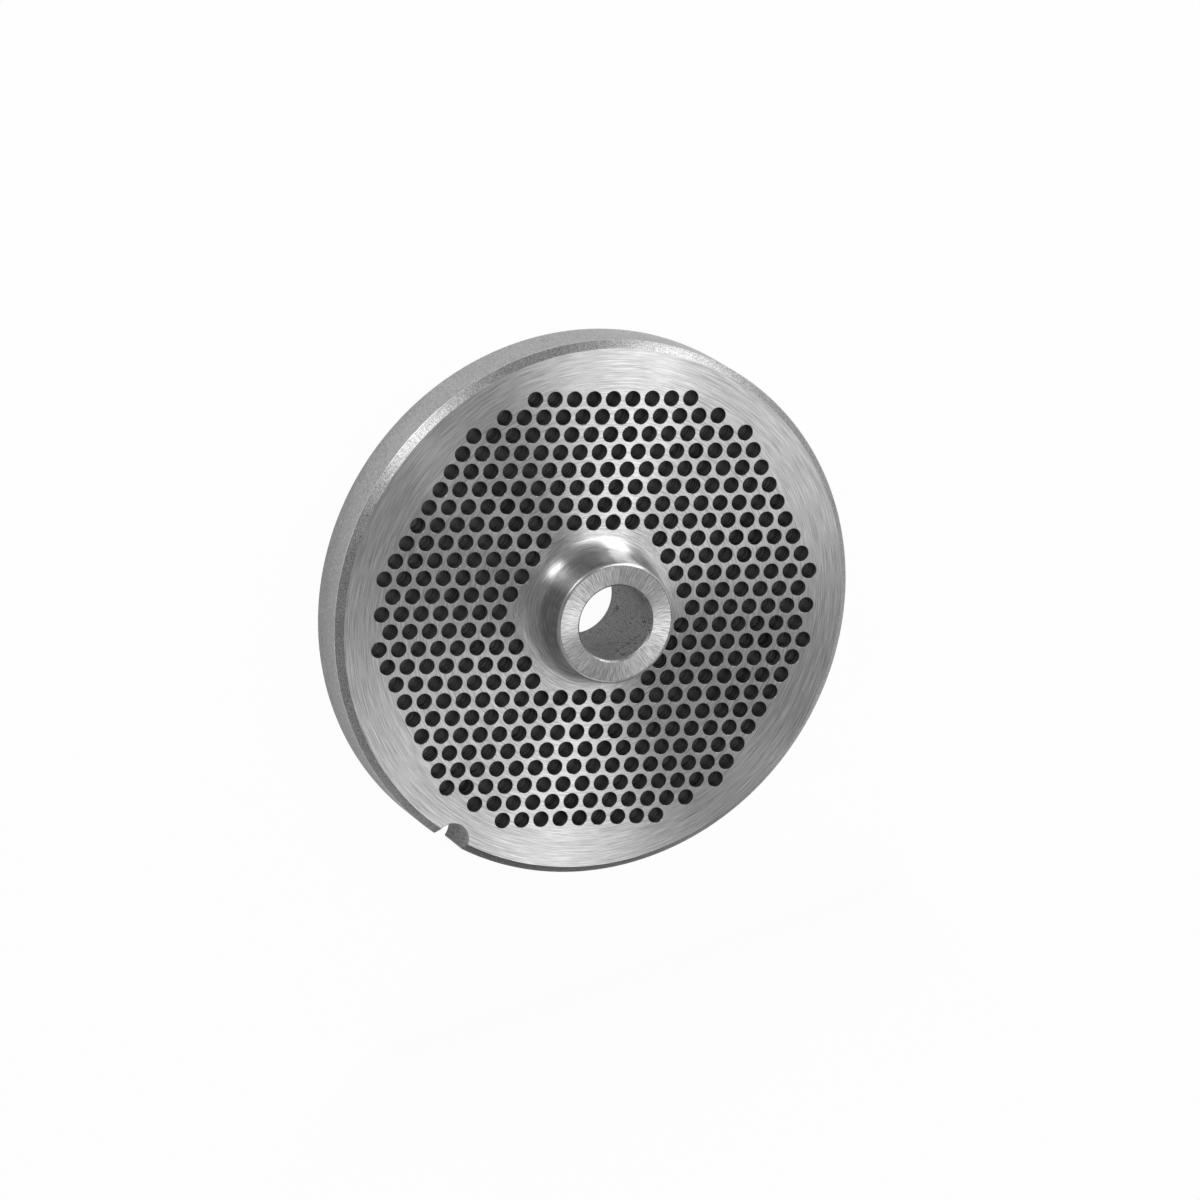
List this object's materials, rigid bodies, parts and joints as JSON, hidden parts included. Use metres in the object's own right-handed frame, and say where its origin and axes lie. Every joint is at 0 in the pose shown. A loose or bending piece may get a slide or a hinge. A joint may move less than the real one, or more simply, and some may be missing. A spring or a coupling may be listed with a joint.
{
  "type": "meat grinder plate",
  "caption": "Thick round steel grinder plate with a raised bored hub, a field of drilled holes, a chamfered rim and one keying notch.",
  "frame": {"origin": "centre of the bore in the back face, the flat face that the plate lies on", "axes": "+Z along the bore out of the hub, +X through the middle of the keying notch"},
  "size_m": [0.1586, 0.1588, 0.0309],
  "materials": {
    "machined_steel": "bare machined steel: faces ground in fine rings, rim and hub turned, bore and holes darker"
  },
  "bodies": {
    "root": {"grinder_plate": "machined_steel"}
  },
  "joints": []
}
